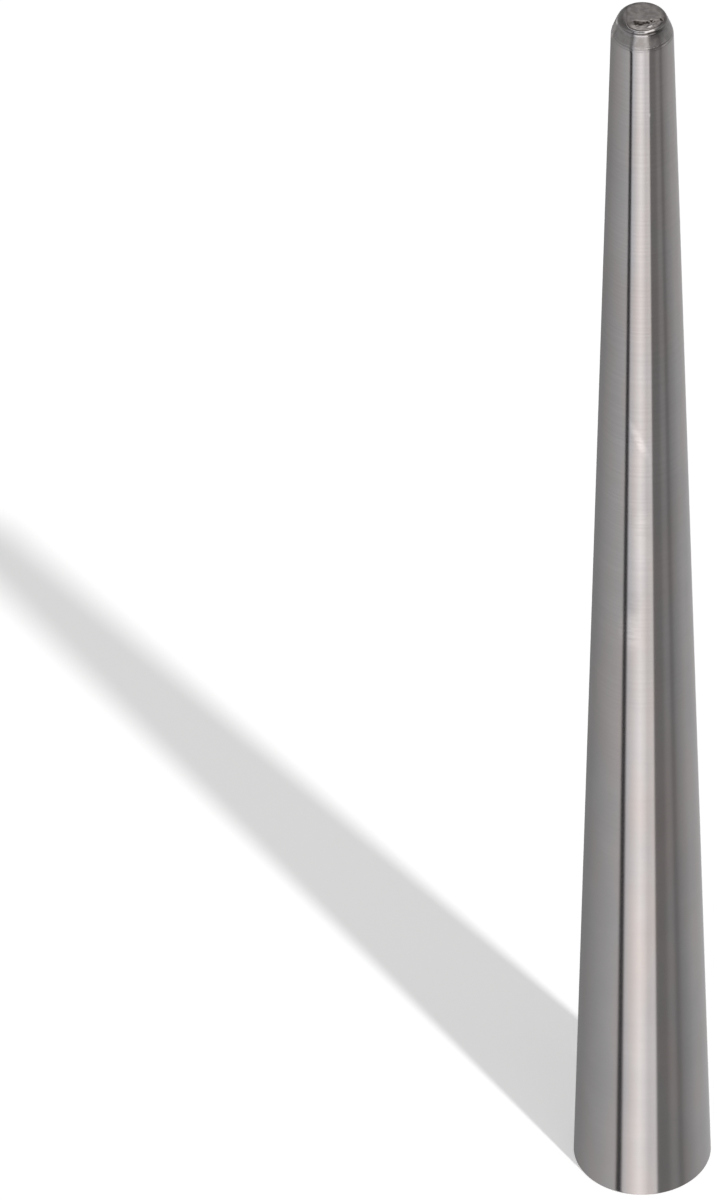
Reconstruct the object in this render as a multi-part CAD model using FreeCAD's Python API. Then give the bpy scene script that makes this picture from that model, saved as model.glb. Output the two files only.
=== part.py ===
import FreeCAD, Part

import math
import os

# A plain ring mandrel: one bar of tool steel, turned and ground to a long taper. It stands on its
# wide end. Rings are pushed down over the taper from the small end, and stretched as they go.
# Millimetres, +Z up the axis, origin at the middle of the wide end. The front is towards -Y.

# The ground taper that the rings ride on
base_diameter = 25.4
small_end_diameter = 11.0
taper_length = 268.0
base_edge_break = 0.2

# The crowned shoulder that draws in above the taper, and its steeper lip, to where the bar was cut
shoulder_height = 2.6
shoulder_inset = 0.935
shoulder_crown = 0.02
shoulder_blend_radius = 3.0
lip_height = 0.4
lip_inset = 0.195

# The stub that the cut left on the lip: a low wall under an edge that was deburred to a wide round
stub_wall_height = 0.1
stub_edge_width = 1.5
stub_edge_rise = 0.9

# Fine turned rings: two round the foot of the shoulder, a crease under the stub, one on its edge
groove_width = 0.2
lower_groove_height = 0.05
lower_groove_depth = 0.07
upper_groove_height = 0.6
upper_groove_depth = 0.03
crease_width = 0.26
crease_depth = 0.13
edge_line_width = 0.2
edge_line_depth = 0.06
edge_line_turn = 48.0

# The last sliver of the bar broke off in front of the saw cut, and left a lower, pitted ledge,
# whose foot lies this far in from the rim of the flat face
ledge_breadth = 0.62
ledge_drop = 0.13
ledge_tilt = 7.4
ledge_direction = -69.0
pit_radius = 0.34
pit_depth = 0.2
# Each pit's place as shares of half the ledge's width and of its distance, and its size share
pit_shares = [
    (-1.01, 0.64, 0.55), (-0.84, 0.76, 0.8), (-0.63, 0.91, 1.0), (-0.29, 0.92, 0.9),
    (0.01, 0.94, 0.7), (0.48, 0.94, 0.65), (1.53, 1.02, 0.6)]

# How near an edge has to lie to the place it is looked for at
matching = 0.001

base_radius = base_diameter / 2
small_end_radius = small_end_diameter / 2
lip_foot_radius = small_end_radius - shoulder_inset
stub_radius = lip_foot_radius - lip_inset
flat_radius = stub_radius - stub_edge_width
ledge_distance = flat_radius - ledge_breadth
lip_foot = taper_length + shoulder_height
shoulder_top = lip_foot + lip_height
edge_foot = shoulder_top + stub_wall_height
overall_length = edge_foot + stub_edge_rise
# The deburred edge is an arc that lies level where it meets the flat face
stub_edge_radius = (stub_edge_width ** 2 + stub_edge_rise ** 2) / (2 * stub_edge_rise)
up = FreeCAD.Vector(0, 0, 1)
tangent = FreeCAD.Vector(0, 1, 0)


def at(radius, height):
    return FreeCAD.Vector(radius, 0, height)


def taper_radius(height):
    # The taper is a straight line from the wide end to the small end
    return base_radius + (small_end_radius - base_radius) * height / taper_length


def shoulder_arc():
    # A shallow arc from the small end to the lip, bowed outwards by the crown
    start = at(small_end_radius, taper_length)
    end = at(lip_foot_radius, lip_foot)
    chord = end.sub(start)
    outward = FreeCAD.Vector(chord.z, 0, -chord.x)
    outward.normalize()
    middle = start.add(chord.multiply(0.5)).add(outward.multiply(shoulder_crown))
    return Part.Arc(start, middle, end)


def shoulder_radius(height):
    # The shoulder's radius at a height above the taper, where a level line meets its arc
    circle = shoulder_arc().toShape().Curve
    rise = taper_length + height - circle.Center.z
    return circle.Center.x + math.sqrt(circle.Radius ** 2 - rise ** 2)


def on_stub_edge(lean):
    # The place on the deburred edge whose face leans up from level by this angle
    centre = at(flat_radius, overall_length - stub_edge_radius)
    return centre.add(at(stub_edge_radius * math.cos(lean), stub_edge_radius * math.sin(lean)))


def stub_edge_arc():
    # From the stub's wall in to its flat face
    foot_lean = math.acos(stub_edge_width / stub_edge_radius)
    middle_lean = (foot_lean + math.pi / 2) / 2
    return Part.Arc(
        at(stub_radius, edge_foot), on_stub_edge(middle_lean), at(flat_radius, overall_length))


def turned_bar():
    # Half the bar's outline, turned round the axis
    break_top = at(taper_radius(base_edge_break), base_edge_break)
    foot = at(base_radius - base_edge_break, 0)
    small_end = at(small_end_radius, taper_length)
    lip_start = at(lip_foot_radius, lip_foot)
    stub_foot = at(stub_radius, shoulder_top)
    stub_edge = stub_edge_arc()
    edges = [
        Part.LineSegment(at(0, 0), foot).toShape(),
        Part.LineSegment(foot, break_top).toShape(),
        Part.LineSegment(break_top, small_end).toShape(),
        shoulder_arc().toShape(),
        Part.LineSegment(lip_start, stub_foot).toShape(),
        Part.LineSegment(stub_foot, stub_edge.StartPoint).toShape(),
        stub_edge.toShape(),
        Part.LineSegment(stub_edge.EndPoint, at(0, overall_length)).toShape(),
        Part.LineSegment(at(0, overall_length), at(0, 0)).toShape()]
    outline = Part.Face(Part.Wire(edges))
    return outline.revolve(at(0, 0), up, 360)


def blended_shoulder(bar):
    # The corner where the taper turns into the shoulder is polished round
    corner = [
        edge for edge in bar.Edges
        if edge.Curve.TypeId == "Part::GeomCircle"
        and abs(edge.Curve.Radius - small_end_radius) < matching
        and abs(edge.Curve.Center.z - taper_length) < matching]
    return bar.makeFillet(shoulder_blend_radius, corner)


def ring_groove(place, width, depth, lean):
    # A round-bottomed groove of this width and depth, for a wall that leans in by this angle
    tool_radius = (width ** 2 / 4 + depth ** 2) / (2 * depth)
    stand_off = tool_radius - depth
    ring_radius = place.x + stand_off * math.cos(lean)
    ring_height = place.z + stand_off * math.sin(lean)
    return Part.makeTorus(ring_radius, tool_radius, at(0, ring_height), up)


def turned_rings():
    shoulder_lean = math.atan2(shoulder_inset, shoulder_height)
    edge_lean = math.radians(edge_line_turn)
    lower = at(shoulder_radius(lower_groove_height), taper_length + lower_groove_height)
    upper = at(shoulder_radius(upper_groove_height), taper_length + upper_groove_height)
    return [
        ring_groove(lower, groove_width, lower_groove_depth, shoulder_lean),
        ring_groove(upper, groove_width, upper_groove_depth, shoulder_lean),
        ring_groove(at(stub_radius, shoulder_top), crease_width, crease_depth, 0),
        ring_groove(on_stub_edge(edge_lean), edge_line_width, edge_line_depth, edge_lean)]


def turned_towards_ledge(shape):
    # Shapes for the ledge are drawn towards +X, then turned to face it
    shape.rotate(at(0, 0), up, ledge_direction)
    return shape


def broken_ledge():
    # Everything in front of the saw cut, down to a ledge that falls away outwards
    ledge_foot = at(ledge_distance, overall_length - ledge_drop)
    block = Part.makeBox(
        stub_radius, 2 * stub_radius, stub_edge_rise,
        ledge_foot.add(FreeCAD.Vector(0, -stub_radius, 0)))
    block.rotate(ledge_foot, tangent, ledge_tilt)
    return turned_towards_ledge(block)


def ledge_pits():
    # Round-bottomed pits torn along the ledge's foot
    pits = []
    half_width = math.sqrt(flat_radius ** 2 - ledge_distance ** 2)
    for along_share, out_share, size_share in pit_shares:
        radius = pit_radius * size_share
        height = overall_length - ledge_drop + radius - pit_depth * size_share
        centre = FreeCAD.Vector(out_share * ledge_distance, along_share * half_width, height)
        pits.append(turned_towards_ledge(Part.makeSphere(radius, centre)))
    return pits


def mandrel():
    bar = blended_shoulder(turned_bar())
    bar = bar.cut(turned_rings())
    bar = bar.cut(broken_ledge())
    return bar.cut(ledge_pits())


def main():
    os.makedirs("parts", exist_ok=True)
    shape = mandrel()
    solid = shape.Solids[0]
    solid.exportStep("parts/mandrel.step")
    print("mandrel", "solids", len(shape.Solids), "valid", solid.isValid())
    print("volume", round(solid.Volume), "mm3, height", round(solid.BoundBox.ZMax, 3), "mm")


main()
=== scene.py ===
import math

import bpy
import numpy as np
from mathutils import Matrix, Vector


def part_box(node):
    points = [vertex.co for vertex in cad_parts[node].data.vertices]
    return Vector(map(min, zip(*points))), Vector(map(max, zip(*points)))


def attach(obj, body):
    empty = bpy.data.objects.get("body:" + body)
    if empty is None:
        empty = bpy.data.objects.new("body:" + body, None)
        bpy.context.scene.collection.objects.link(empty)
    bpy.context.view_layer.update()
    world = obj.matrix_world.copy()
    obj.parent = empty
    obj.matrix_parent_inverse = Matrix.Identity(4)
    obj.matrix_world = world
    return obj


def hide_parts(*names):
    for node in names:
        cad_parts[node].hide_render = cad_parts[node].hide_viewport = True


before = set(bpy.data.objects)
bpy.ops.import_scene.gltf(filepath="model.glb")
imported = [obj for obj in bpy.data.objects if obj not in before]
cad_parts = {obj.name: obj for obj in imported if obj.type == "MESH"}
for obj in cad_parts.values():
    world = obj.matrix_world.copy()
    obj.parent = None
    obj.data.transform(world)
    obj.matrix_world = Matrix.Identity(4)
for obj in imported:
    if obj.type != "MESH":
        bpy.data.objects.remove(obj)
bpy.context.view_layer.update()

print("scene: frame loaded")

# The mandrel, in millimetres, from the wide end at 0 up to the cut at the small end
mandrelSizes = {
    "smallEndRadius": 5.5,
    "taperLength": 268.0,
    "edgeBreak": 0.2,
    "shoulderHeight": 2.6,
    "shoulderInset": 0.935,
    "shoulderCrown": 0.02,
    "cornerSoftness": 0.06,    # how softly the taper rounds into the shoulder
    "lipHeight": 0.4,          # the top of the shoulder leans in more steeply
    "lipInset": 0.195,
    "lipSoftness": 0.04,
    "stubWall": 0.1,
    "domeWidth": 1.5,          # the deburred edge: from the stub's wall in to the flat
    "domeRise": 0.9,
    "hair": 0.001,             # less than the mesh's finest step
    "millimetre": 0.001,       # in metres
}

# How finely the mesh is cut
meshRows = {
    "around": 288,             # columns round the axis
    "footShares": (0.35, 0.7, 0.93, 0.985),    # rings on the foot, as shares of its radius
    "edgeBreak": 6,
    "taper": 34,
    "taperTop": 12,
    "shoulder": 100,
    "stretches": (3.0, 2.4, 0.3, 0.25),    # below the small end: where those three end and start
    "ding": 11,
    "dingReach": 1.1,          # in widths of the ding
    "ring": 7,
    "stubWall": 8,
    "stubShares": (0.15, 1.0),
    "dome": 74,
    "face": 64,
}

# Fine rings left by the lathe: height above the small end, width and depth
turnedRings = [
    (0.02, 0.14, 0.035),
    (0.34, 0.10, -0.008),
    (0.60, 0.16, 0.032),
    (1.15, 0.10, 0.003),
    (1.60, 0.10, 0.005),
    (2.10, 0.10, 0.003),
    (-98.7, 0.30, 0.004),
]

# Dings in the ground taper: degrees round from the front, height, width and depth
dings = [
    (9.2, 253.9, 0.6, 0.02),
    (-38.0, 96.0, 0.8, 0.02),
    (151.0, 201.0, 0.7, 0.025),
]

# The rough end: what the saw, the break and the deburring left
cutEnd = {
    "creaseHeight": 0.05,      # above the shoulder
    "creaseDepth": 0.13,
    "creaseLeast": 0.3,        # the share of its depth that it has all round
    "creaseDirtShade": 0.72,       # how far its dirt and painted shade reach, as a share of the width
    "creaseDirtShadeHeight": -0.03,
    "belowReach": 1.1,         # how far down the shoulder that dirt and painted shade reach
    "belowFade": 0.18,
    "burrWidth": 0.13,
    "burrDepth": 0.07,
    "burrDirtShade": 0.85,          # the dirt and painted shade in the line where it is clear
    "burrDirtShadeWidth": 1.1,          # how wide that dirt and painted shade is, in widths of the line
    "faintDirtShade": 0.12,         # and what stays of it where it is worn away, over a wider band
    "faintSpread": 5.0,
    "ledgeDistance": 2.25,     # the break runs this far from the axis, facing front and a little right
    "ledgeDirection": -69.0,
    "ledgeDrop": 0.13,
    "ledgeFall": 0.13,         # how much lower the ledge gets for each millimetre outwards
    "ledgeStep": 0.03,
    "ledgeSoftness": 0.02,
    "rippleStart": 2.90,       # steps on the ledge, rings round the axis
    "ripplePitch": 0.45,
    "rippleHeight": 0.02,
    "rippleStrength": 0.75,
    "chipRadius": 3.22,        # a bright chip on the ledge: its crest's radius, degrees from the front
    "chipTurn": 27.0,
    "chipLength": 1.1,
    "chipWidth": 0.36,
    "chipHeight": 0.12,
    "chipPolish": 0.6,
    "chipPolishOut": 0.1,      # its polish lies this much further out than its crest
    "backFall": 0.02,          # how much the cut falls to the back for each millimetre
    "faceWaviness": 0.007,
    "pitDirtShadeWidth": 1.15,        # dirt and painted shade reach this share of a pit's width
    "ringStart": -42.0,        # the deburred ring was polished between these degrees
    "ringEnd": 62.0,
    "ringFade": 8.0,
    "offRing": 0.75,           # how rough the ring is elsewhere
    "finishEdge": 0.02,
    "dullStart": 0.55,         # the shoulder is dull from this height, softly, up to the lip
    "dullStartFade": 0.16,
    "dullEndFade": 0.03,
    # How its lines wander: pace, size, and the seed that draws their waves
    "breakWander": (2.2, 0.07, 7),
    "rippleWander": (1.6, 0.45, 41),
    "rippleTurn": (2.0, 0.7, 42),
    "ledgeWander": (1.0, 0.015, 12),
    "pitSides": (0.4, 0.22, 31),
    "pitEnds": (0.4, 0.22, 32),
    "sawAcross": (1.0, 1.0, 21),
    "sawAlong": (1.0, 1.0, 22),
    "sawFineAcross": (9.0, 0.6, 23),
    "sawFineAlong": (11.0, 1.0, 24),
    # Those that run round the end and close on themselves: size and seed
    "burrWander": (0.03, 4),
    "creaseWander": (0.22, 9),
    "belowWander": (0.3, 17),
}

# The waves that a wandering line adds up: each one is quicker and weaker than the one before
lineWaves = {"count": 5, "pace": 1.9, "quicker": 1.7, "weaker": 1.35, "evenOut": 2.6}
roundWaves = {"counts": (2, 3, 5, 8, 13, 21), "evenOut": 1.6}

# The crease under the end: degrees from the front, how deep and how dark with dirt and painted shade
# it is, its width, and how strongly that dirt and painted shade reach down the shoulder
creaseLine = [
    (-180, 0.15, 0.16, 0.0), (-60, 0.15, 0.16, 0.0), (-28, 0.35, 0.18, 0.0), (-14, 0.65, 0.20, 0.0),
    (0, 0.75, 0.20, 0.0), (13, 0.90, 0.24, 0.0), (20, 0.85, 0.26, 0.65), (30, 0.85, 0.28, 0.50),
    (40, 0.85, 0.28, 0.25), (52, 0.60, 0.24, 0.20), (70, 0.20, 0.17, 0.0), (180, 0.15, 0.16, 0.0),
]

# Stains on the cut: to the right, to the front, radius and strength
stains = [(-1.85, 2.65, 0.85, 0.40), (2.45, 2.0, 0.7, 0.30), (0.6, 2.95, 0.5, 0.25)]

# The burr line round the end: degrees from the front, to the right positive, radius and clearness
burrLine = [
    (-180, 4.20, 0.2), (-140, 4.00, 0.3), (-123, 3.30, 0.4), (-105, 2.87, 0.4), (-90, 2.77, 0.4),
    (-75, 2.87, 0.4), (-60, 3.17, 0.4), (-48, 3.65, 0.5), (-35, 3.93, 0.7), (-20, 4.00, 1.0),
    (-5, 4.02, 1.0), (10, 3.97, 1.0), (25, 3.93, 1.0), (40, 3.93, 0.9), (55, 3.95, 0.6),
    (75, 4.05, 0.3), (100, 4.15, 0.2), (140, 4.20, 0.2), (180, 4.20, 0.2),
]

# Pits torn at the foot of the break: place along it from the middle, distance out, length, width, depth
tornPits = [
    (-1.80, 1.30, 0.55, 0.50, 0.14),
    (-1.90, 1.85, 0.50, 0.45, 0.16),
    (-1.50, 1.66, 0.80, 0.60, 0.22),
    (-1.12, 2.05, 0.90, 0.58, 0.28),
    (-0.52, 2.08, 0.90, 0.56, 0.28),
    (0.02, 2.12, 0.60, 0.48, 0.22),
    (0.28, 2.36, 0.35, 0.34, 0.14),
    (0.86, 2.12, 0.46, 0.50, 0.24),
    (1.35, 2.40, 0.26, 0.24, 0.10),
    (2.72, 2.30, 0.46, 0.46, 0.24),
]


def bell(distance, width):
    # 1 at no distance, falling to 1/e at half the width
    return np.exp(-(distance / (width / 2)) ** 2)


def softEdge(distance, width):
    # Rises from 0 to 1 round no distance: 1 over the sum of 1 and exp(-distance / width)
    return 1 / (1 + np.exp(-np.clip(distance / width, -40, 40)))


def softMin(a, b, softness):
    # Soft minimum: minus s times the log of the sum of exp(-value / s)
    low = np.minimum(a, b)
    return low - softness * np.log(np.exp(-(a - low) / softness) + np.exp(-(b - low) / softness))


def wander(along, pace, size, seed):
    # A wandering line: sine waves of falling size, their phases drawn from one seed
    draw = np.random.default_rng(seed)
    line = np.zeros_like(along)
    for step in range(lineWaves["count"]):
        turn = along * pace * lineWaves["quicker"] ** step * lineWaves["pace"]
        wave = np.sin(turn + draw.uniform(0, 2 * math.pi))
        line = line + wave / lineWaves["weaker"] ** step
    return size * line / lineWaves["evenOut"]


def ringWander(angle, size, seed):
    # The same, closing on itself once round
    draw = np.random.default_rng(seed)
    line = np.zeros_like(angle)
    for waves in roundWaves["counts"]:
        line = line + np.sin(waves * angle + draw.uniform(0, 2 * math.pi)) / waves ** 0.5
    return size * line / roundWaves["evenOut"]


def readRound(angle, table):
    # Each column of a table at these angles, straight between its rows
    degrees, *columns = np.array(table).T
    return [np.interp(np.degrees(angle), degrees, column, period=360) for column in columns]


def shoulderTop(sizes):
    return sizes["taperLength"] + sizes["shoulderHeight"] + sizes["lipHeight"]


def stubRadiusOf(sizes):
    return sizes["smallEndRadius"] - sizes["shoulderInset"] - sizes["lipInset"]


def wallRadius(z, sizes, footRadius):
    # The taper's straight line and the shoulder's bowed line, joined by a soft minimum, less the rings
    taper = footRadius + (sizes["smallEndRadius"] - footRadius) * z / sizes["taperLength"]
    up = z - sizes["taperLength"]
    share = up / sizes["shoulderHeight"]
    bow = 4 * sizes["shoulderCrown"] * np.clip(share, 0, 1) * (1 - share)
    shoulder = sizes["smallEndRadius"] - sizes["shoulderInset"] * share + bow
    radius = softMin(taper, shoulder, sizes["cornerSoftness"])
    extra = sizes["lipInset"] / sizes["lipHeight"] - sizes["shoulderInset"] / sizes["shoulderHeight"]
    radius = radius + extra * softMin(0, sizes["shoulderHeight"] - up, sizes["lipSoftness"])
    for height, width, depth in turnedRings:
        radius = radius - depth * bell(up - height, width)
    return radius


def wallHeights(sizes, rows):
    # Rows up the wall: sparse on the straight taper, close together at the dings and the shoulder
    smallEnd = sizes["taperLength"]
    taperEnd, topStart, topEnd, shoulderStart = smallEnd - np.array(rows["stretches"])
    heights = [
        np.linspace(2 * sizes["edgeBreak"], taperEnd, rows["taper"]),
        np.linspace(topStart, topEnd, rows["taperTop"]),
        np.linspace(shoulderStart, shoulderTop(sizes), rows["shoulder"]),
    ]
    for degrees, height, width, depth in dings:
        reach = rows["dingReach"]
        heights.append(height + width * np.linspace(-reach, reach, rows["ding"]))
    for height, width, depth in turnedRings:
        if height < 0:    # the others lie where the rows are close enough
            heights.append(smallEnd + height + width * np.linspace(-1, 1, rows["ring"]))
    return np.unique(np.concatenate(heights))


def domeHeight(radius, sizes):
    # A circular arc from the stub's wall up to the flat, level where it meets the flat
    width, rise = sizes["domeWidth"], sizes["domeRise"]
    arcRadius = (width ** 2 + rise ** 2) / (2 * rise)
    flatRadius = stubRadiusOf(sizes) - width
    out = np.clip(radius - flatRadius, 0, width)
    top = shoulderTop(sizes) + sizes["stubWall"] + rise
    return top - arcRadius + np.sqrt(arcRadius ** 2 - out ** 2)


def turnedOutline(sizes, rows, footRadius):
    # Rows of (radius, height): foot, edge break, taper, shoulder, stub's wall, dome, flat
    soft = sizes["edgeBreak"]
    footRings = (footRadius - soft) * np.array(rows["footShares"])
    breakTurn = np.linspace(0, math.pi / 2, rows["edgeBreak"])
    breakRadius = footRadius - soft + soft * np.sin(breakTurn)
    breakHeight = soft - soft * np.cos(breakTurn)
    wallHeight = wallHeights(sizes, rows)
    stubRadius = stubRadiusOf(sizes)
    stubShares = np.linspace(*rows["stubShares"], rows["stubWall"])
    stubHeight = shoulderTop(sizes) + sizes["stubWall"] * stubShares
    flatRadius = stubRadius - sizes["domeWidth"]
    domeRadius = np.linspace(stubRadius, flatRadius, rows["dome"])[1:]
    faceRadius = flatRadius * np.linspace(1, 0, rows["face"])[1:-1]
    radius = np.concatenate([
        footRings, breakRadius, wallRadius(wallHeight, sizes, footRadius),
        np.full(len(stubHeight), stubRadius), domeRadius, faceRadius])
    height = np.concatenate([
        0 * footRings, breakHeight, wallHeight, stubHeight,
        domeHeight(domeRadius, sizes), domeHeight(faceRadius, sizes)])
    return radius, height


def creaseRound(height, angle, sizes, looks):
    # The crease under the end: how far it draws the wall in, and the dirt and painted shade in it and
    # below it
    strong, width, dirtShadeBelow = readRound(angle, creaseLine)
    dirtShadeBelow = dirtShadeBelow * (1 + ringWander(angle, *looks["belowWander"]))
    width = width * (1 + ringWander(angle, *looks["creaseWander"]))
    above = height - shoulderTop(sizes)
    deep = looks["creaseLeast"] + (1 - looks["creaseLeast"]) * strong
    drawnIn = looks["creaseDepth"] * bell(above - looks["creaseHeight"], width) * deep
    away = (above - looks["creaseDirtShadeHeight"]) / (width * looks["creaseDirtShade"])
    inCrease = strong * np.exp(-away ** 4)
    below = (above < 0) * dirtShadeBelow * softEdge(above + looks["belowReach"], looks["belowFade"])
    return drawnIn, np.maximum(inCrease, below)


def chipShape(radius, angle, looks):
    # A bell lying along the ring it sits on
    around = (angle - math.radians(looks["chipTurn"])) * looks["chipRadius"]
    across = (radius - looks["chipRadius"]) / (looks["chipWidth"] / 2)
    return np.exp(-across ** 2 - (around / (looks["chipLength"] / 2)) ** 4)


def ledgeHeight(height, radius, angle, along, past, looks):
    # The broken ledge: it falls outwards, with ripples round the axis and one bright chip on it
    turn = 2 * math.pi * (radius - looks["rippleStart"]) / looks["ripplePitch"]
    turn = turn + wander(along, *looks["rippleTurn"])
    strength = looks["rippleStrength"] + wander(along, *looks["rippleWander"])
    ledge = height.max() - looks["ledgeDrop"] - looks["ledgeFall"] * np.clip(past, 0, None)
    ledge = ledge + looks["rippleHeight"] * strength * np.cos(turn)
    ledge = ledge - wander(along * 3 + past * 2, *looks["ledgeWander"])
    return ledge + looks["chipHeight"] * chipShape(radius, angle, looks)


def brokenLedge(height, radius, angle, outward, along, looks):
    # Past the break's wandering line the cut drops by a soft step to the lower of itself and the ledge
    past = outward - looks["ledgeDistance"] - wander(along, *looks["breakWander"])
    ledge = ledgeHeight(height, radius, angle, along, past, looks)
    lowered = softMin(height, ledge, looks["ledgeSoftness"])
    return height + softEdge(past, looks["ledgeStep"]) * (lowered - height)


def burrGroove(away, clear, looks):
    # The burr line's depth and its dirt and painted shade, which spreads wider where the line is faint
    depth = looks["burrDepth"] * bell(away, looks["burrWidth"]) * clear ** 2
    width = looks["burrWidth"] * (looks["burrDirtShadeWidth"] + looks["faintSpread"] * (1 - clear))
    darkInLine = looks["burrDirtShade"] * clear + looks["faintDirtShade"] * (1 - clear)
    return depth, bell(away, width) * darkInLine


def tearPits(height, grime, onStub, outward, along, looks):
    # Sinks a bell with a wandering rim at each pit, and fills it with dirt and painted shade
    rim = wander(along * 1.6 + outward, *looks["pitSides"])
    rim = rim + wander(outward * 1.8 - along, *looks["pitEnds"])
    for place, distance, length, width, depth in tornPits:
        away = np.hypot((along - place) / (length / 2), (outward - distance) / (width / 2)) * (1 + rim)
        height = height - onStub * depth * np.exp(-away ** 2)
        grime = np.maximum(grime, onStub * np.exp(-(away / looks["pitDirtShadeWidth"]) ** 4))
    return height, grime


def sawnShare(radius, angle, line, looks):
    # Rough inside the burr line and, less so, on the ring outside it, but for the ring's polished
    # stretch and the chip
    degrees = np.degrees(angle)
    started = 1 + np.tanh((degrees - looks["ringStart"]) / looks["ringFade"])
    notEnded = 1 - np.tanh((degrees - looks["ringEnd"]) / looks["ringFade"])
    offRing = looks["offRing"] * (1 - started * notEnded / 4)
    rough = np.maximum(softEdge(line - radius, looks["finishEdge"]), offRing)
    return rough * (1 - looks["chipPolish"] * chipShape(radius - looks["chipPolishOut"], angle, looks))


def sawMarks(x, y, looks):
    # Coarse and fine waves, each the product of one across the cut and one along it
    coarse = wander(x * 3 + y, *looks["sawAcross"]) * wander(y * 4 - x, *looks["sawAlong"])
    fine = wander(x, *looks["sawFineAcross"]) * wander(y, *looks["sawFineAlong"])
    return coarse + fine


def dressCutEnd(radius, height, angle, sizes, looks):
    # Moves the rows above the shoulder: crease, broken ledge, burr line, pits and a rough face.
    # Gives back the radius, the height, and masks for dirt with painted shade and for the rough sawn
    # finish
    drawnIn, grime = creaseRound(height, angle, sizes, looks)
    aboveWall = height > shoulderTop(sizes) + sizes["stubWall"] + sizes["hair"]
    onStub = aboveWall & (radius < stubRadiusOf(sizes) - sizes["hair"])
    x = radius * np.sin(angle)
    y = -radius * np.cos(angle)
    facing = math.radians(looks["ledgeDirection"])
    outward = x * math.cos(facing) + y * math.sin(facing)
    along = -x * math.sin(facing) + y * math.cos(facing)

    height = height - onStub * looks["backFall"] * np.clip(y, 0, None)
    height = np.where(onStub, brokenLedge(height, radius, angle, outward, along, looks), height)
    line, clear = readRound(angle, burrLine)
    line = line + ringWander(angle, *looks["burrWander"])
    burrDepth, burrDirtShade = burrGroove(radius - line, clear, looks)
    height = height - onStub * burrDepth
    grime = np.maximum(grime, onStub * burrDirtShade)
    height, grime = tearPits(height, grime, onStub, outward, along, looks)
    for right, front, size, strength in stains:
        away = np.hypot(x - right, -y - front) / size
        grime = np.maximum(grime, onStub * strength * np.exp(-away ** 4))
    sawn = onStub * sawnShare(radius, angle, line, looks)
    height = height - sawn * looks["faceWaviness"] * (1 + sawMarks(x, y, looks))
    return radius - drawnIn, height, grime, sawn


def dentWall(radius, height, angle):
    # Pushes the wall in by a bell at each ding
    for degrees, place, width, depth in dings:
        aside = (angle - math.radians(degrees)) * radius
        radius = radius - depth * bell(np.hypot(aside, height - place), width)
    return radius


def dullShare(height, sawn, sizes, looks):
    # 1 on the shoulder, with a soft start and a crisp end at the lip, and 0 where the steel is sawn
    up = height - sizes["taperLength"]
    start = softEdge(up - looks["dullStart"], looks["dullStartFade"])
    end = softEdge(sizes["shoulderHeight"] - up, looks["dullEndFade"])
    return start * end * (1 - sawn)


def tubeFaces(rows, columns):
    # Quads between neighbouring rows of a tube, then a fan of triangles closing each of its ends
    ring = np.arange(columns)
    ringNext = (ring + 1) % columns
    starts = np.arange(rows - 1)[:, None] * columns
    here, aside = starts + ring, starts + ringNext
    quads = np.stack([here, aside, aside + columns, here + columns], axis=-1).reshape(-1, 4)
    foot = np.stack([np.full(columns, rows * columns), ringNext, ring], axis=-1)
    last = (rows - 1) * columns
    crown = np.stack([np.full(columns, rows * columns + 1), last + ring, last + ringNext], axis=-1)
    return quads.tolist() + foot.tolist() + crown.tolist()


def mandrelMesh(sizes, rows, looks, footRadius):
    # A surface of revolution: outline row i turned to angle j, then the cut end's rows moved
    outlineRadius, outlineHeight = turnedOutline(sizes, rows, footRadius)
    columns = rows["around"]
    angle = np.arange(columns) * 2 * math.pi / columns - math.pi
    radius, turned = np.meshgrid(outlineRadius, angle, indexing="ij")
    height = np.repeat(outlineHeight[:, None], columns, axis=1)
    radius = dentWall(radius, height, turned)
    radius, height, grime, sawn = dressCutEnd(radius, height, turned, sizes, looks)
    grid = np.stack([radius * np.sin(turned), -radius * np.cos(turned), height], axis=-1)
    centres = np.array([[0, 0, 0], [0, 0, grid[-1, :, 2].mean()]])
    points = np.concatenate([grid.reshape(-1, 3), centres]) * sizes["millimetre"]
    mesh = bpy.data.meshes.new("mandrel_steel")
    mesh.from_pydata(points.tolist(), [], tubeFaces(len(outlineRadius), columns))
    mesh.update()
    mesh.shade_smooth()
    dull = dullShare(height, sawn, sizes, looks)
    # The first mask holds dirt and painted shade in the crease, the burr line and the pits, and the
    # stains
    masks = {"grime": (grime, (0, 0)), "sawn": (sawn, (0, 1)), "dull": (dull, (0, 0))}
    for name, (values, atCentres) in masks.items():
        attribute = mesh.attributes.new(name, "FLOAT", "POINT")
        attribute.data.foreach_set("value", np.append(values, atCentres).astype(np.float32))
    return mesh


def nodeMaker(tree):
    # Returns a short way to add a node: its type, its settings, and its inputs by name or number
    def make(kind, settings=None, **inputs):
        node = tree.nodes.new(kind)
        for name, value in (settings or {}).items():
            setattr(node, name, value)
        for name, value in inputs.items():
            socket = node.inputs[int(name) if name.isdigit() else name.replace("_", " ")]
            if isinstance(value, bpy.types.NodeSocket):
                tree.links.new(value, socket)
            else:
                socket.default_value = value
        return node
    return make


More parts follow.
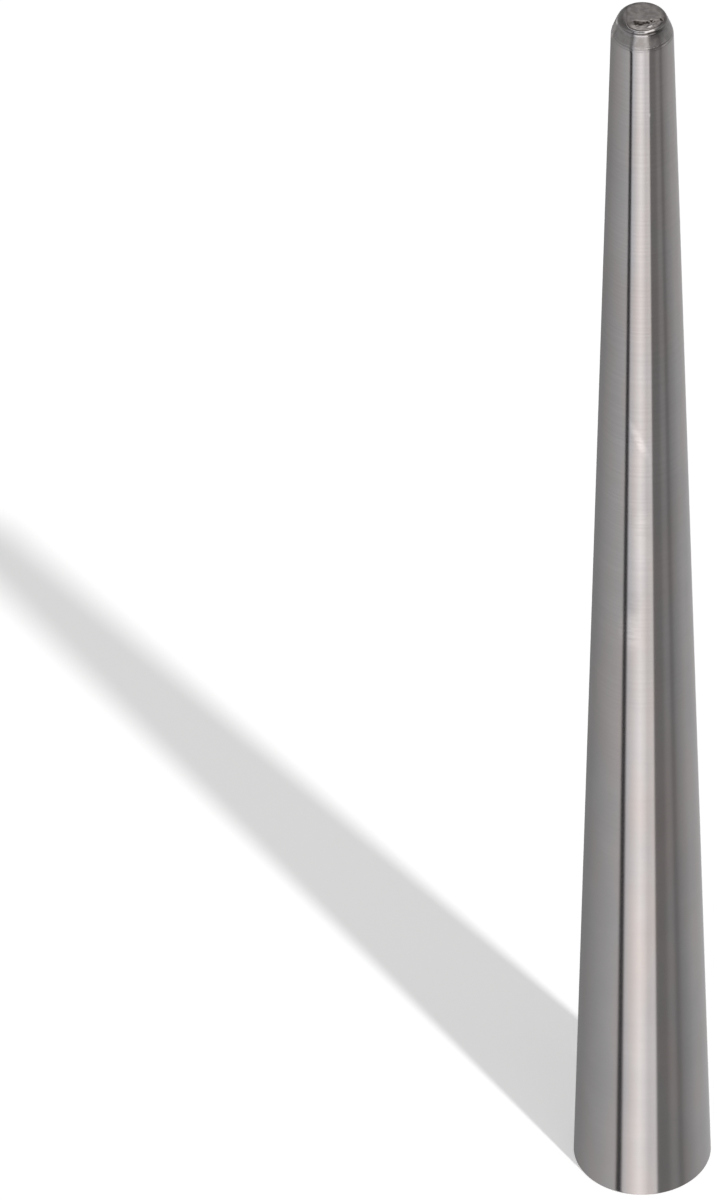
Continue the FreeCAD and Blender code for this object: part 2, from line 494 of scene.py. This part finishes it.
# The steel's finishes. The ground taper is bright and stretched by its grinding lines, the shoulder
# duller, and the sawn end dull and grey
steelLook = {
    "warm": (0.659, 0.617, 0.610, 1),
    "cool": (0.636, 0.622, 0.633, 1),
    "ringShade": 0.955,
    "ringClearing": (0.06, 0.19, 0.3, 1.0),    # two heights in metres, and how clear the rings are there
    "patchShade": 0.955,
    "sawnLight": (0.36, 0.335, 0.325, 1),
    "sawnDark": (0.25, 0.232, 0.226, 1),
    "dullShade": (0.50, 0.475, 0.468, 1),
    # the colour of the dirt and painted shade in the crease, the burr line and the pits
    "grime": (0.045, 0.038, 0.034, 1),
    "groundRoughness": 0.155,
    "dullRoughness": 0.29,
    "sawnRoughness": 0.36,
    "anisotropy": 0.95,
    "grindingTurn": 0.25,      # the grinding lines run round the axis
    # The noises in the steel: how many features for each metre, along x, y and z
    "tintGrain": (200, 200, 40),
    "patchGrain": (90, 90, 75),
    "ringGrain": (30, 30, 2300),
    "rubGrain": (400, 400, 1300),
    "mottleGrain": 1100.0,
    "detail": 3.0,
    "mottleDetail": 4.0,
    # The part of a noise over which a mask changes, and the mask at its two ends where not 0 and 1
    "middle": (0.35, 0.65),
    "dullBreaks": (0.62, 0.38, 0.15, 1.0),
    "rubBreaks": (0.35, 0.60, 0.5, 1.0),
    "rubFade": (1.0, 0.25),    # a rub mark fades in between these distances, as shares of its half sizes
    "rubDepth": 0.3,           # and reaches less deep into the steel's pattern than it is wide
}

# Rub marks on the taper, in metres: middle, lean from upright in degrees, half length, half width,
# and shade
rubMarks = [
    ((-0.0006, -0.0078, 0.1803), -21.0, 0.0060, 0.0011, 1.24),
    ((0.0002, -0.0086, 0.1622), 0.0, 0.0030, 0.0022, 1.06),
    ((-0.0002, -0.0086, 0.1570), 0.0, 0.0090, 0.0026, 1.07),
    ((-0.0016, -0.0090, 0.1425), 0.0, 0.0040, 0.0022, 0.93),
    ((-0.0024, -0.0090, 0.1355), 0.0, 0.0060, 0.0024, 1.20),
]


def mixColour(make, factor, first, second, blend="MIX"):
    mix = make("ShaderNodeMix", {"data_type": "RGBA", "blend_type": blend},
               **{"0": factor, "6": first, "7": second})
    return mix.outputs[2]


def shadeColour(make, factor, colour, shade):
    # Multiplies the colour by this shade where the factor is 1
    return mixColour(make, factor, colour, (shade, shade, shade, 1), "MULTIPLY")


def mathNode(make, operation, first, second=0.0, third=0.0):
    return make("ShaderNodeMath", {"operation": operation},
                **{"0": first, "1": second, "2": third}).outputs[0]


def softStep(make, value, start, end, low=0.0, high=1.0):
    # The low value before start, the high value after end, smooth between
    step = make("ShaderNodeMapRange", {"interpolation_type": "SMOOTHSTEP"},
                Value=value, From_Min=start, From_Max=end, To_Min=low, To_Max=high)
    return step.outputs[0]


def stretchedNoise(make, place, scale, detail):
    # Noise with this many features for each metre along x, y and z
    stretched = make("ShaderNodeMapping", Vector=place, Scale=scale).outputs[0]
    return make("ShaderNodeTexNoise", Vector=stretched, Scale=1.0, Detail=detail).outputs[0]


def rubMask(make, place, look, middle, lean, halfLength, halfWidth):
    # 1 in the middle of a leaning oval patch, 0 outside it, broken up by noise
    aside = make("ShaderNodeVectorMath", {"operation": "SUBTRACT"}, **{"0": place, "1": middle})
    turned = make("ShaderNodeVectorRotate", {"rotation_type": "Y_AXIS"},
                  Vector=aside.outputs[0], Angle=-math.radians(lean))
    half = (1 / halfWidth, look["rubDepth"] / halfWidth, 1 / halfLength)
    scaled = make("ShaderNodeVectorMath", {"operation": "MULTIPLY"},
                  **{"0": turned.outputs[0], "1": half})
    distance = make("ShaderNodeVectorMath", {"operation": "LENGTH"}, **{"0": scaled.outputs[0]})
    patch = softStep(make, distance.outputs["Value"], *look["rubFade"])
    breaks = stretchedNoise(make, place, look["rubGrain"], look["detail"])
    return mathNode(make, "MULTIPLY", patch, softStep(make, breaks, *look["rubBreaks"]))


def groundSteel(make, place, look):
    # The ground taper's colour: two tints, faint grinding rings, soft patches and the rub marks
    tint, patches, rings = (
        softStep(make, stretchedNoise(make, place, look[grain], look["detail"]), *look["middle"])
        for grain in ("tintGrain", "patchGrain", "ringGrain"))
    up = make("ShaderNodeSeparateXYZ", Vector=place).outputs["Z"]
    rings = mathNode(make, "MULTIPLY", rings, softStep(make, up, *look["ringClearing"]))
    ground = mixColour(make, tint, look["warm"], look["cool"])
    ground = shadeColour(make, rings, ground, look["ringShade"])
    ground = shadeColour(make, patches, ground, look["patchShade"])
    for middle, lean, halfLength, halfWidth, shade in rubMarks:
        mask = rubMask(make, place, look, middle, lean, halfLength, halfWidth)
        ground = shadeColour(make, mask, ground, shade)
    return ground


def toolSteel(look):
    material = bpy.data.materials.new("tool_steel")
    material.use_nodes = True
    tree = material.node_tree
    shader = tree.nodes["Principled BSDF"]
    make = nodeMaker(tree)
    place = make("ShaderNodeTexCoord").outputs["Object"]
    grime, sawn, dull = (
        make("ShaderNodeAttribute", {"attribute_name": name}).outputs["Fac"]
        for name in ("grime", "sawn", "dull"))
    mottle = make("ShaderNodeTexNoise", Vector=place, Scale=look["mottleGrain"],
                  Detail=look["mottleDetail"]).outputs[0]
    dullPart = mathNode(make, "MULTIPLY", dull, softStep(make, mottle, *look["dullBreaks"]))
    finish = mixColour(make, dullPart, groundSteel(make, place, look), look["dullShade"])
    spread = softStep(make, mottle, *look["middle"])
    sawnSteel = mixColour(make, spread, look["sawnDark"], look["sawnLight"])
    finish = mixColour(make, sawn, finish, sawnSteel)
    # Dirt and painted shade darken the steel in the crease, the burr line and the pits
    finish = mixColour(make, grime, finish, look["grime"])
    rough = softStep(make, dull, 0.0, 1.0, look["groundRoughness"], look["dullRoughness"])
    more = mathNode(make, "SUBTRACT", look["sawnRoughness"], rough)
    rough = mathNode(make, "MULTIPLY_ADD", more, sawn, rough)
    ground = mathNode(make, "SUBTRACT", 1.0, sawn)
    tree.links.new(finish, shader.inputs["Base Color"])
    tree.links.new(rough, shader.inputs["Roughness"])
    tree.links.new(mathNode(make, "MULTIPLY", ground, look["anisotropy"]), shader.inputs["Anisotropic"])
    shader.inputs["Anisotropic Rotation"].default_value = look["grindingTurn"]
    shader.inputs["Metallic"].default_value = 1
    return material


def buildMandrel():
    low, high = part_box("mandrel")
    footRadius = high.x / mandrelSizes["millimetre"]
    mesh = mandrelMesh(mandrelSizes, meshRows, cutEnd, footRadius)
    mandrel = bpy.data.objects.new("mandrel_steel", mesh)
    bpy.context.scene.collection.objects.link(mandrel)
    mesh.materials.append(toolSteel(steelLook))
    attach(mandrel, "root")
    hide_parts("mandrel")
    print("scene: mandrel", len(mesh.polygons), "faces")


# The white floor. The room gives it only a share of its light, so that the shadow on it stays pale,
# and what that leaves short of white for the camera is the floor's own white
floorLook = {
    "size": 60.0,
    "colour": (1.0, 1.0, 1.0, 1),
    "roomShare": 0.4,
    "cameraWhite": 0.365,
}


def buildFloor(look):
    half = look["size"] / 2
    mesh = bpy.data.meshes.new("studio_floor")
    corners = [(-half, -half, 0), (half, -half, 0), (half, half, 0), (-half, half, 0)]
    mesh.from_pydata(corners, [], [(0, 1, 2, 3)])
    floor = bpy.data.objects.new("studio_floor", mesh)
    bpy.context.scene.collection.objects.link(floor)
    material = bpy.data.materials.new("white_floor")
    material.use_nodes = True
    shader = material.node_tree.nodes["Principled BSDF"]
    shader.inputs["Base Color"].default_value = look["colour"]
    shader.inputs["Roughness"].default_value = 1
    shader.inputs["Specular IOR Level"].default_value = 0
    shader.inputs["Emission Color"].default_value = look["colour"]
    make = nodeMaker(material.node_tree)
    seen = make("ShaderNodeLightPath").outputs["Is Camera Ray"]
    white = mathNode(make, "MULTIPLY", seen, look["cameraWhite"])
    material.node_tree.links.new(white, shader.inputs["Emission Strength"])
    mesh.materials.append(material)
    floor.visible_glossy = False    # the room's low cards stand for the floor in the steel
    floor.visible_shadow = False
    print("scene: floor")


# The room as the steel sees it. Each band of height shows the cards that stand there: start and end
# in degrees round from the camera's side, to the right positive, and the tones at both. A band
# takes over from the one below it between two heights, in degrees above level
roomBands = [
    ("below", -90, -90, [
        (-166, -128, 0.225, 0.285),
        (-92, -45, 0.39, 0.53),
        (-43.8, -35.8, 0.03, 0.03),
        (-32.8, -23, 0.70, 0.80),
        (-6, -4, 1.13, 1.13),
        (4.6, 9, 0.98, 0.845),
        (12, 23.6, 0.80, 0.85),
        (25.9, 44, 0.19, 0.195),
        (52, 61, 0.275, 0.275),
        (65, 71, 0.19, 0.19),
        (75, 110, 0.26, 0.43),
        (118, 166, 0.43, 0.50),
        (170, 180, 0.85, 0.85),
    ]),
    ("sides", -24, -19, [
        (-180, -158, 0.30, 0.38),
        (-148, -130, 0.75, 0.85),
        (-120, -46, 0.20, 0.36),
        (-44, -35, 0.08, 0.08),
        (-31, 22, 0.70, 0.70),
        (28, 66, 0.14, 0.18),
        (74, 92, 0.70, 0.62),
        (100, 144, 0.20, 0.30),
        (152, 162, 0.70, 0.70),
    ]),
    ("level", -14, -9, [
        (-166, -45, 0.27, 0.33),
        (-43, -34, 0.20, 0.20),
        (-23, -10, 0.42, 0.50),
        (0, 13, 0.50, 0.44),
        (20, 85, 0.12, 0.12),
        (95, 150, 0.22, 0.38),
        (165, 180, 0.28, 0.28),
    ]),
    ("above", 5, 9, [
        (-166, -45, 0.27, 0.25),
        (-40, -37, 0.20, 0.20),
        (-25, 20.5, 1.28, 1.28),
        (26, 85, 0.06, 0.10),
        (95, 150, 0.22, 0.38),
        (165, 180, 0.35, 0.35),
    ]),
    ("key", 21, 27, [
        (-150, -120, 0.20, 0.14),
        (-105, -45, 0.14, 0.18),
        (-38, 6, 0.22, 0.22),
        (16, 58, 1.32, 1.32),
        (63, 120, 0.22, 0.35),
        (140, 180, 0.60, 0.60),
    ]),
    ("ceiling", 53, 63, [
        (-180, 180, 1.5, 1.5),
    ]),
]

# A slight tint of those cards: degrees round from the camera's side, and the colour it multiplies by
roomTint = [
    (-60, (1.00, 1.0, 1.00)), (-46, (1.017, 1.0, 0.98)), (-40, (1.03, 1.0, 1.045)),
    (-31, (0.995, 1.0, 1.02)), (-20, (1.035, 1.0, 0.975)), (18, (1.035, 1.0, 0.975)),
    (40, (1.03, 1.0, 0.98)), (62, (1.02, 1.0, 0.985)), (82, (1.00, 1.0, 1.00)),
]


def roundRamp(make, share, stops):
    # A ramp once round the room, from -180 to 180 degrees
    ramp = make("ShaderNodeValToRGB", Fac=share)
    elements = ramp.color_ramp.elements
    while len(elements) < len(stops):
        elements.new(0.5)
    for element, (degrees, colour) in zip(elements, stops):
        element.position = (degrees + 180) / 360
        element.color = (*colour, 1)
    return ramp.outputs["Color"]


def cardStops(cards):
    # The cards' ends as stops of a ramp. Before the first card it starts with the last one's tone
    stops = []
    for start, end, first, last in cards:
        stops += [(start, (first, first, first)), (end, (last, last, last))]
    if stops[0][0] > -180:
        stops.insert(0, (-180, stops[-1][1]))
    return stops


def buildRoom(bands, tints, floorShare):
    world = bpy.data.worlds.new("studio_room")
    bpy.context.scene.world = world
    world.use_nodes = True
    tree = world.node_tree
    make = nodeMaker(tree)
    direction = make("ShaderNodeTexCoord").outputs["Generated"]
    split = make("ShaderNodeSeparateXYZ", Vector=direction)
    backwards = mathNode(make, "MULTIPLY", split.outputs["Y"], -1.0)
    azimuth = mathNode(make, "ARCTAN2", split.outputs["X"], backwards)
    elevation = mathNode(make, "ARCSINE", split.outputs["Z"])
    share = mathNode(make, "MULTIPLY_ADD", azimuth, 0.5 / math.pi, 0.5)
    tone = None
    for name, start, end, cards in bands:
        ramp = roundRamp(make, share, cardStops(cards))
        if tone is None:
            tone = ramp
            continue
        rise = softStep(make, elevation, math.radians(start), math.radians(end))
        tone = mixColour(make, rise, tone, ramp)
    onFloor = make("ShaderNodeLightPath").outputs["Is Diffuse Ray"]
    inSteel = mathNode(make, "SUBTRACT", 1.0, onFloor)
    tinted = mixColour(make, inSteel, tone, roundRamp(make, share, tints), "MULTIPLY")
    strength = mathNode(make, "MULTIPLY_ADD", onFloor, floorShare - 1, 1.0)
    background = tree.nodes["Background"]
    tree.links.new(tinted, background.inputs["Color"])
    tree.links.new(strength, background.inputs["Strength"])
    print("scene: room")


# The key light stands at the front right, so the shadow runs back to the left
keyLight = {"azimuth": 36.7, "elevation": 51.5, "strength": 1.4, "softness": 1.7}


def buildKeyLight(look):
    lamp = bpy.data.lights.new("key_light", "SUN")
    lamp.energy = look["strength"]
    lamp.angle = math.radians(look["softness"])
    holder = bpy.data.objects.new("key_light", lamp)
    azimuth = math.radians(look["azimuth"])
    elevation = math.radians(look["elevation"])
    towards = Vector((
        math.cos(elevation) * math.sin(azimuth),
        -math.cos(elevation) * math.cos(azimuth),
        math.sin(elevation)))
    holder.rotation_euler = towards.to_track_quat("Z", "Y").to_euler()
    holder.visible_glossy = False    # the steel shows the room's key card in its place
    bpy.context.scene.collection.objects.link(holder)
    print("scene: key light")


# The photograph's view: a long lens well back, looking down at the foot by 43.5 degrees. The mandrel's
# axis stands upright in the picture, right of the middle
viewPoint = {
    "distance": 3.1358,
    "footElevation": 43.469,
    "middleElevation": 41.618,
    "focalPixels": 16947.0,
    "axisColumn": 642.26,
    "frameWidth": 714.0,
    "frameHeight": 1200.0,
    "sensor": 36.0,
    "clip": (0.1, 200.0),
}


def buildCamera(view):
    foot = math.radians(view["footElevation"])
    place = Vector((0, -math.cos(foot), math.sin(foot))) * view["distance"]
    look = math.radians(view["middleElevation"])
    towards = Vector((0, math.cos(look), -math.sin(look)))    # through the axis, at middle height
    upwards = Vector((0, math.sin(look), math.cos(look)))
    sideways = Vector((1, 0, 0))
    aside = math.atan((view["axisColumn"] - view["frameWidth"] / 2) / view["focalPixels"])
    right = sideways * math.cos(aside) + towards * math.sin(aside)
    forward = towards * math.cos(aside) - sideways * math.sin(aside)
    lens = bpy.data.cameras.new("photo_camera")
    lens.sensor_fit = "AUTO"
    lens.sensor_width = view["sensor"]
    lens.lens = view["sensor"] * view["focalPixels"] / view["frameHeight"]
    lens.clip_start, lens.clip_end = view["clip"]
    camera = bpy.data.objects.new("photo_camera", lens)
    turn = Matrix((right, upwards, -forward)).transposed().to_4x4()
    camera.matrix_world = Matrix.Translation(place) @ turn
    bpy.context.scene.collection.objects.link(camera)
    bpy.context.scene.camera = camera
    print("scene: camera")


buildMandrel()
buildFloor(floorLook)
buildRoom(roomBands, roomTint, floorLook["roomShare"])
buildKeyLight(keyLight)
buildCamera(viewPoint)
bpy.context.scene.view_settings.view_transform = "Standard"

print("scene: ready")
